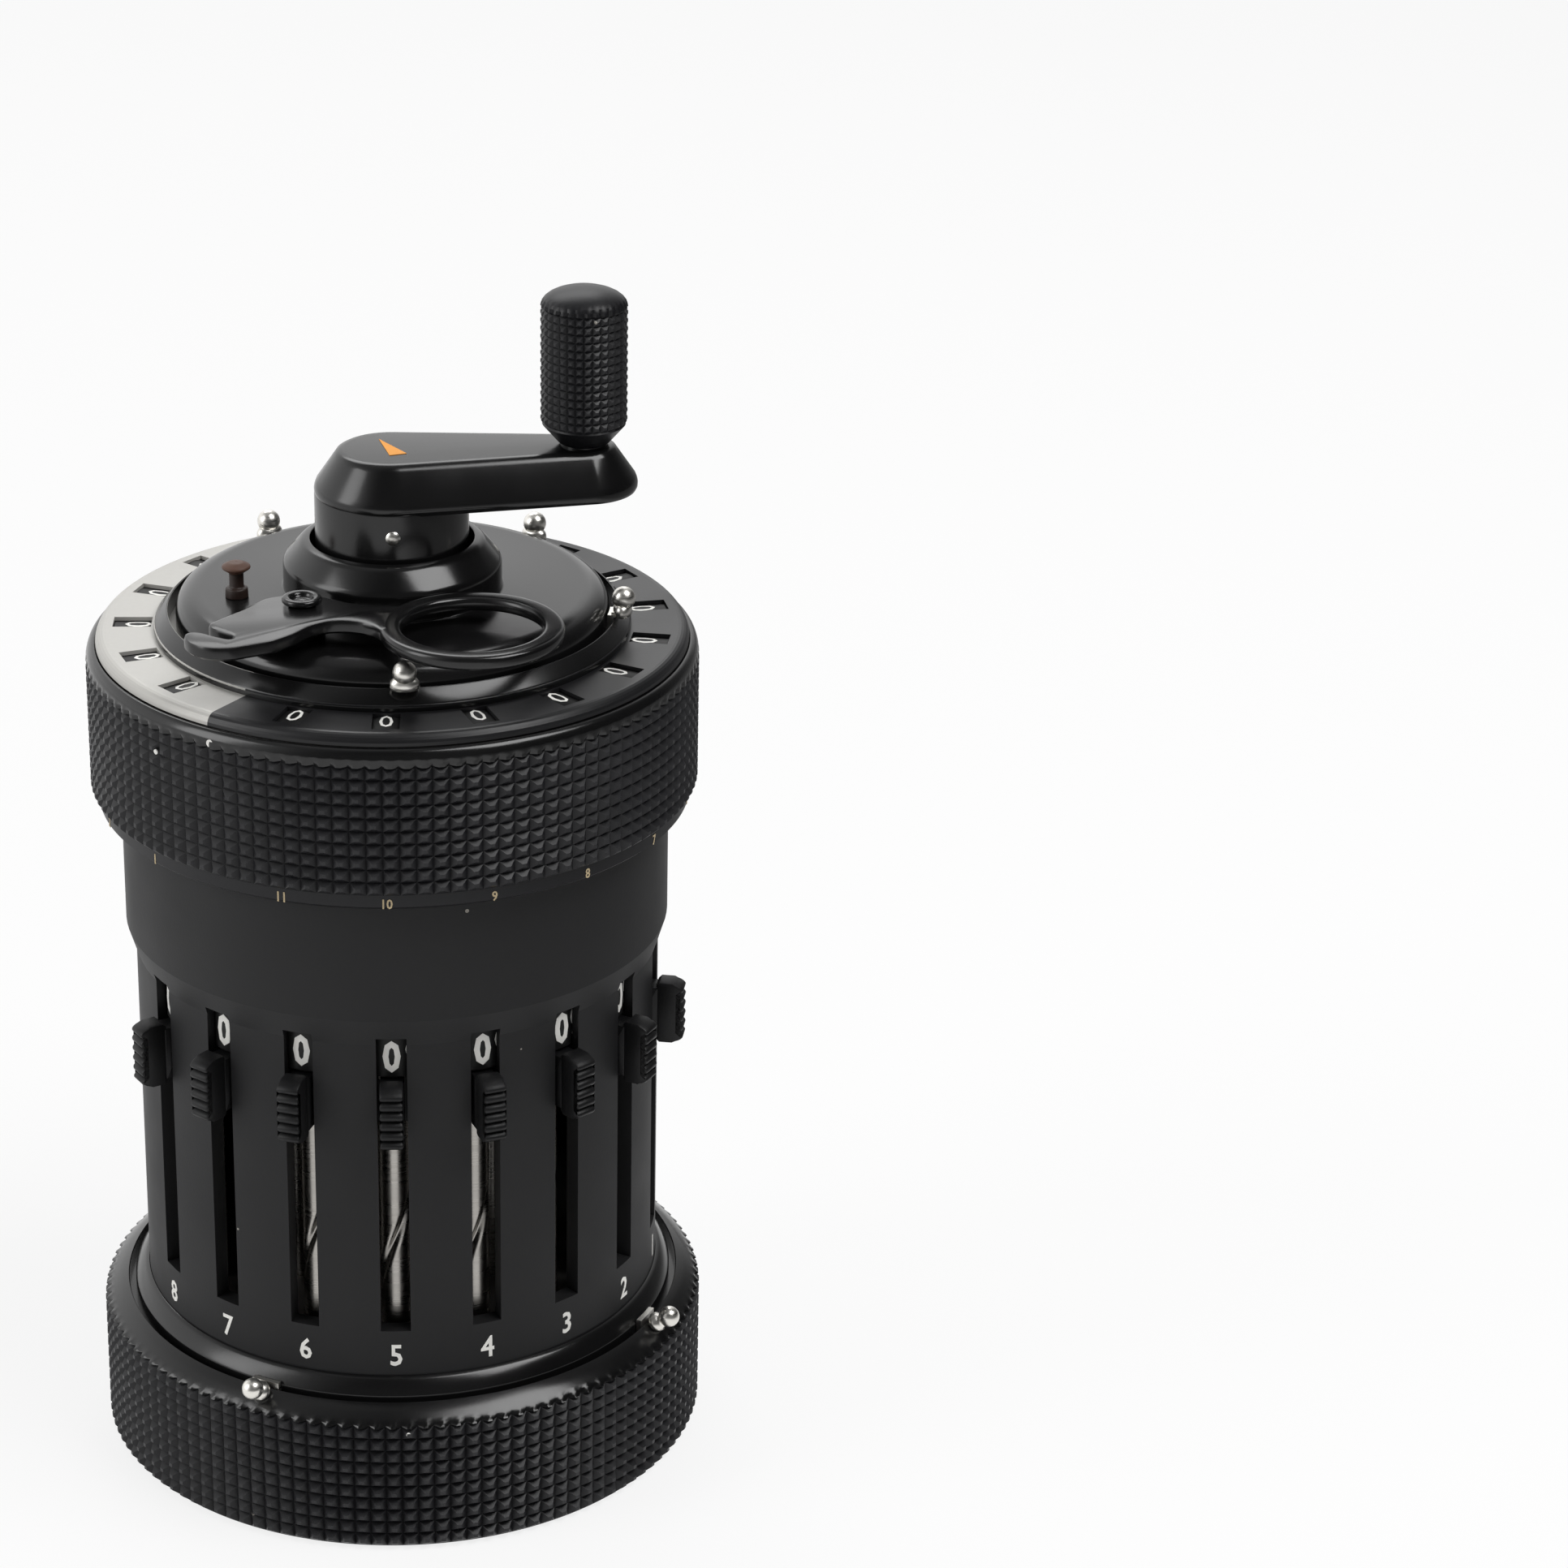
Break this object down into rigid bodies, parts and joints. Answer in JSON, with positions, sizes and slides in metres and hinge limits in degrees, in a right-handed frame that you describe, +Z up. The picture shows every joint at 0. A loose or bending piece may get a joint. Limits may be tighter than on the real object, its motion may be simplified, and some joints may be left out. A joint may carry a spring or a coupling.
{
  "type": "mechanical pocket calculator",
  "caption": "Cylindrical crank-driven pocket calculator with setting sliders, a lifting register carriage, number dials, a clearing lever and decimal markers.",
  "frame": {"origin": "middle of the base ring's underside, on the machine's axis", "axes": "+Z up along the axis of the drum and crank; -Y is the front, between setting slots 4 and 5"},
  "size_m": [0.0546, 0.0546, 0.1067],
  "materials": {
    "case_black": "matte black enamel",
    "knurl_black": "satin black, knurled",
    "gloss_black": "glossy black enamel",
    "knob_black": "moulded matte black",
    "register_white": "pale satin aluminium",
    "register_black": "satin black",
    "dial_black": "matte black",
    "steel": "turned steel",
    "bearing_metal": "machined",
    "marker_silver": "polished",
    "pin_brown": "worn brown"
  },
  "bodies": {
    "root": {"main_casing": "case_black", "base_ring": "knurl_black", "base_plate": "case_black", "base_screws": "steel", "lower_bearing_plate": "bearing_metal", "upper_bearing_plate": "bearing_metal", "transmission_shafts": "steel"},
    "reverser": {"reversing_lever": "knob_black"},
    "spring": {"carriage_spring": "steel"},
    "carriage": {"carriage_ring": "knurl_black", "counter_plate": "register_white", "result_plate": "register_black", "dial_frame": "bearing_metal"},
    "clearing": {"top_cover": "gloss_black", "cover_pin": "pin_brown"},
    "lever": {"clearing_lever": "gloss_black"},
    "ratchet": {"ratchet_wheel": "steel"},
    "crank": {"step_drum": "steel", "crank_arm": "gloss_black", "hub_pin": "marker_silver"},
    "grip": {"crank_grip": "knurl_black"},
    "knob_1": {"setting_knob_1": "knob_black"},
    "shaft_1": {"setting_shaft_1": "steel"},
    "knob_2": {"setting_knob_2": "knob_black"},
    "shaft_2": {"setting_shaft_2": "steel"},
    "knob_3": {"setting_knob_3": "knob_black"},
    "shaft_3": {"setting_shaft_3": "steel"},
    "knob_4": {"setting_knob_4": "knob_black"},
    "shaft_4": {"setting_shaft_4": "steel"},
    "knob_5": {"setting_knob_5": "knob_black"},
    "shaft_5": {"setting_shaft_5": "steel"},
    "knob_6": {"setting_knob_6": "knob_black"},
    "shaft_6": {"setting_shaft_6": "steel"},
    "knob_7": {"setting_knob_7": "knob_black"},
    "shaft_7": {"setting_shaft_7": "steel"},
    "knob_8": {"setting_knob_8": "knob_black"},
    "shaft_8": {"setting_shaft_8": "steel"},
    "base_mark_1": {"base_marker_1": "marker_silver"},
    "base_mark_2": {"base_marker_2": "marker_silver"},
    "counter_1": {"counter_dial_1": "dial_black"},
    "counter_2": {"counter_dial_2": "dial_black"},
    "counter_3": {"counter_dial_3": "dial_black"},
    "counter_4": {"counter_dial_4": "dial_black"},
    "counter_5": {"counter_dial_5": "dial_black"},
    "counter_6": {"counter_dial_6": "dial_black"},
    "result_1": {"result_dial_1": "dial_black"},
    "result_2": {"result_dial_2": "dial_black"},
    "result_3": {"result_dial_3": "dial_black"},
    "result_4": {"result_dial_4": "dial_black"},
    "result_5": {"result_dial_5": "dial_black"},
    "result_6": {"result_dial_6": "dial_black"},
    "result_7": {"result_dial_7": "dial_black"},
    "result_8": {"result_dial_8": "dial_black"},
    "result_9": {"result_dial_9": "dial_black"},
    "result_10": {"result_dial_10": "dial_black"},
    "result_11": {"result_dial_11": "dial_black"},
    "register_mark_1": {"register_marker_1": "marker_silver"},
    "register_mark_2": {"register_marker_2": "marker_silver"},
    "register_mark_3": {"register_marker_3": "marker_silver"},
    "register_mark_4": {"register_marker_4": "marker_silver"}
  },
  "joints": [
    {"name": "setting_1", "type": "slide", "parent": "root", "child": "knob_1", "axis": [0, 0, -1], "range_m": [0, 0.018]},
    {"name": "numeral_1", "type": "hinge", "parent": "root", "child": "shaft_1", "pos_m": [0.01823, -0.00664, 0.046], "axis": [0, 0, 1], "range_deg": [0, 324]},
    {"name": "setting_2", "type": "slide", "parent": "root", "child": "knob_2", "axis": [0, 0, -1], "range_m": [0, 0.018]},
    {"name": "numeral_2", "type": "hinge", "parent": "root", "child": "shaft_2", "pos_m": [0.01486, -0.01247, 0.046], "axis": [0, 0, 1], "range_deg": [0, 324]},
    {"name": "setting_3", "type": "slide", "parent": "root", "child": "knob_3", "axis": [0, 0, -1], "range_m": [0, 0.018]},
    {"name": "numeral_3", "type": "hinge", "parent": "root", "child": "shaft_3", "pos_m": [0.0097, -0.0168, 0.046], "axis": [0, 0, 1], "range_deg": [0, 324]},
    {"name": "setting_4", "type": "slide", "parent": "root", "child": "knob_4", "axis": [0, 0, -1], "range_m": [0, 0.018]},
    {"name": "numeral_4", "type": "hinge", "parent": "root", "child": "shaft_4", "pos_m": [0.00337, -0.01911, 0.046], "axis": [0, 0, 1], "range_deg": [0, 324]},
    {"name": "setting_5", "type": "slide", "parent": "root", "child": "knob_5", "axis": [0, 0, -1], "range_m": [0, 0.018]},
    {"name": "numeral_5", "type": "hinge", "parent": "root", "child": "shaft_5", "pos_m": [-0.00337, -0.01911, 0.046], "axis": [0, 0, 1], "range_deg": [0, 324]},
    {"name": "setting_6", "type": "slide", "parent": "root", "child": "knob_6", "axis": [0, 0, -1], "range_m": [0, 0.018]},
    {"name": "numeral_6", "type": "hinge", "parent": "root", "child": "shaft_6", "pos_m": [-0.0097, -0.0168, 0.046], "axis": [0, 0, 1], "range_deg": [0, 324]},
    {"name": "setting_7", "type": "slide", "parent": "root", "child": "knob_7", "axis": [0, 0, -1], "range_m": [0, 0.018]},
    {"name": "numeral_7", "type": "hinge", "parent": "root", "child": "shaft_7", "pos_m": [-0.01486, -0.01247, 0.046], "axis": [0, 0, 1], "range_deg": [0, 324]},
    {"name": "setting_8", "type": "slide", "parent": "root", "child": "knob_8", "axis": [0, 0, -1], "range_m": [0, 0.018]},
    {"name": "numeral_8", "type": "hinge", "parent": "root", "child": "shaft_8", "pos_m": [-0.01823, -0.00664, 0.046], "axis": [0, 0, 1], "range_deg": [0, 324]},
    {"name": "reversing", "type": "slide", "parent": "root", "child": "reverser", "axis": [0, 0, -1], "range_m": [0, 0.005]},
    {"name": "base_point_1", "type": "hinge", "parent": "root", "child": "base_mark_1", "pos_m": [0, 0, 0.0155], "axis": [0, 0, 1], "range_deg": [-30, 30]},
    {"name": "base_point_2", "type": "hinge", "parent": "root", "child": "base_mark_2", "pos_m": [0, 0, 0.0155], "axis": [0, 0, 1], "range_deg": [-30, 30]},
    {"name": "carriage_turn", "type": "hinge", "parent": "root", "child": "spring", "pos_m": [0, 0, 0.068], "axis": [0, 0, 1], "range_deg": [-100, 0]},
    {"name": "carriage_raise", "type": "slide", "parent": "spring", "child": "carriage", "axis": [0, 0, 1], "range_m": [0, 0.0035], "stiffness_N_per_m": 300, "springref_m": -0.004, "deforming": ["carriage_spring"]},
    {"name": "counter_digit_1", "type": "hinge", "parent": "carriage", "child": "counter_1", "pos_m": [-0.01905, -0.011, 0.07345], "axis": [-0.866, -0.5, 0], "continuous": true},
    {"name": "counter_digit_2", "type": "hinge", "parent": "carriage", "child": "counter_2", "pos_m": [-0.02167, -0.00382, 0.07345], "axis": [-0.9848, -0.1736, 0], "continuous": true},
    {"name": "counter_digit_3", "type": "hinge", "parent": "carriage", "child": "counter_3", "pos_m": [-0.02167, 0.00382, 0.07345], "axis": [-0.9848, 0.1736, 0], "continuous": true},
    {"name": "counter_digit_4", "type": "hinge", "parent": "carriage", "child": "counter_4", "pos_m": [-0.01905, 0.011, 0.07345], "axis": [-0.866, 0.5, 0], "continuous": true},
    {"name": "counter_digit_5", "type": "hinge", "parent": "carriage", "child": "counter_5", "pos_m": [-0.01414, 0.01685, 0.07345], "axis": [-0.6428, 0.766, 0], "continuous": true},
    {"name": "counter_digit_6", "type": "hinge", "parent": "carriage", "child": "counter_6", "pos_m": [-0.00752, 0.02067, 0.07345], "axis": [-0.342, 0.9397, 0], "continuous": true},
    {"name": "result_digit_1", "type": "hinge", "parent": "carriage", "child": "result_1", "pos_m": [0.00382, 0.02167, 0.07345], "axis": [0.1736, 0.9848, 0], "continuous": true},
    {"name": "result_digit_2", "type": "hinge", "parent": "carriage", "child": "result_2", "pos_m": [0.011, 0.01905, 0.07345], "axis": [0.5, 0.866, 0], "continuous": true},
    {"name": "result_digit_3", "type": "hinge", "parent": "carriage", "child": "result_3", "pos_m": [0.01685, 0.01414, 0.07345], "axis": [0.766, 0.6428, 0], "continuous": true},
    {"name": "result_digit_4", "type": "hinge", "parent": "carriage", "child": "result_4", "pos_m": [0.02067, 0.00752, 0.07345], "axis": [0.9397, 0.342, 0], "continuous": true},
    {"name": "result_digit_5", "type": "hinge", "parent": "carriage", "child": "result_5", "pos_m": [0.022, 0, 0.07345], "axis": [1, 0, 0], "continuous": true},
    {"name": "result_digit_6", "type": "hinge", "parent": "carriage", "child": "result_6", "pos_m": [0.02067, -0.00752, 0.07345], "axis": [0.9397, -0.342, 0], "continuous": true},
    {"name": "result_digit_7", "type": "hinge", "parent": "carriage", "child": "result_7", "pos_m": [0.01685, -0.01414, 0.07345], "axis": [0.766, -0.6428, 0], "continuous": true},
    {"name": "result_digit_8", "type": "hinge", "parent": "carriage", "child": "result_8", "pos_m": [0.011, -0.01905, 0.07345], "axis": [0.5, -0.866, 0], "continuous": true},
    {"name": "result_digit_9", "type": "hinge", "parent": "carriage", "child": "result_9", "pos_m": [0.00382, -0.02167, 0.07345], "axis": [0.1736, -0.9848, 0], "continuous": true},
    {"name": "result_digit_10", "type": "hinge", "parent": "carriage", "child": "result_10", "pos_m": [-0.00382, -0.02167, 0.07345], "axis": [-0.1736, -0.9848, 0], "continuous": true},
    {"name": "result_digit_11", "type": "hinge", "parent": "carriage", "child": "result_11", "pos_m": [-0.011, -0.01905, 0.07345], "axis": [-0.5, -0.866, 0], "continuous": true},
    {"name": "clearing_turn", "type": "hinge", "parent": "carriage", "child": "clearing", "pos_m": [0, 0, 0.08], "axis": [0, 0, 1], "continuous": true},
    {"name": "lever_fold", "type": "hinge", "parent": "clearing", "child": "lever", "pos_m": [-0.00905, -0.00961, 0.0824], "axis": [0, 0, 1], "range_deg": [-72, 0]},
    {"name": "register_point_1", "type": "hinge", "parent": "carriage", "child": "register_mark_1", "pos_m": [0, 0, 0.077], "axis": [0, 0, 1], "range_deg": [-25, 25]},
    {"name": "register_point_2", "type": "hinge", "parent": "carriage", "child": "register_mark_2", "pos_m": [0, 0, 0.077], "axis": [0, 0, 1], "range_deg": [-25, 25]},
    {"name": "register_point_3", "type": "hinge", "parent": "carriage", "child": "register_mark_3", "pos_m": [0, 0, 0.077], "axis": [0, 0, 1], "range_deg": [-25, 25]},
    {"name": "register_point_4", "type": "hinge", "parent": "carriage", "child": "register_mark_4", "pos_m": [0, 0, 0.077], "axis": [0, 0, 1], "range_deg": [-25, 25]},
    {"name": "crank_spin", "type": "hinge", "parent": "root", "child": "ratchet", "pos_m": [0, 0, 0.0155], "axis": [0, 0, -1], "continuous": true},
    {"name": "crank_raise", "type": "slide", "parent": "ratchet", "child": "crank", "axis": [0, 0, 1], "range_m": [0, 0.003]},
    {"name": "grip_spin", "type": "hinge", "parent": "crank", "child": "grip", "pos_m": [0.01644, -0.00144, 0.1], "axis": [0, 0, 1], "continuous": true}
  ],
  "couplings": [
    {"joint": "numeral_1", "follows": "setting_1", "rad_per_m": 314.16},
    {"joint": "numeral_2", "follows": "setting_2", "rad_per_m": 314.16},
    {"joint": "numeral_3", "follows": "setting_3", "rad_per_m": 314.16},
    {"joint": "numeral_4", "follows": "setting_4", "rad_per_m": 314.16},
    {"joint": "numeral_5", "follows": "setting_5", "rad_per_m": 314.16},
    {"joint": "numeral_6", "follows": "setting_6", "rad_per_m": 314.16},
    {"joint": "numeral_7", "follows": "setting_7", "rad_per_m": 314.16},
    {"joint": "numeral_8", "follows": "setting_8", "rad_per_m": 314.16}
  ]
}
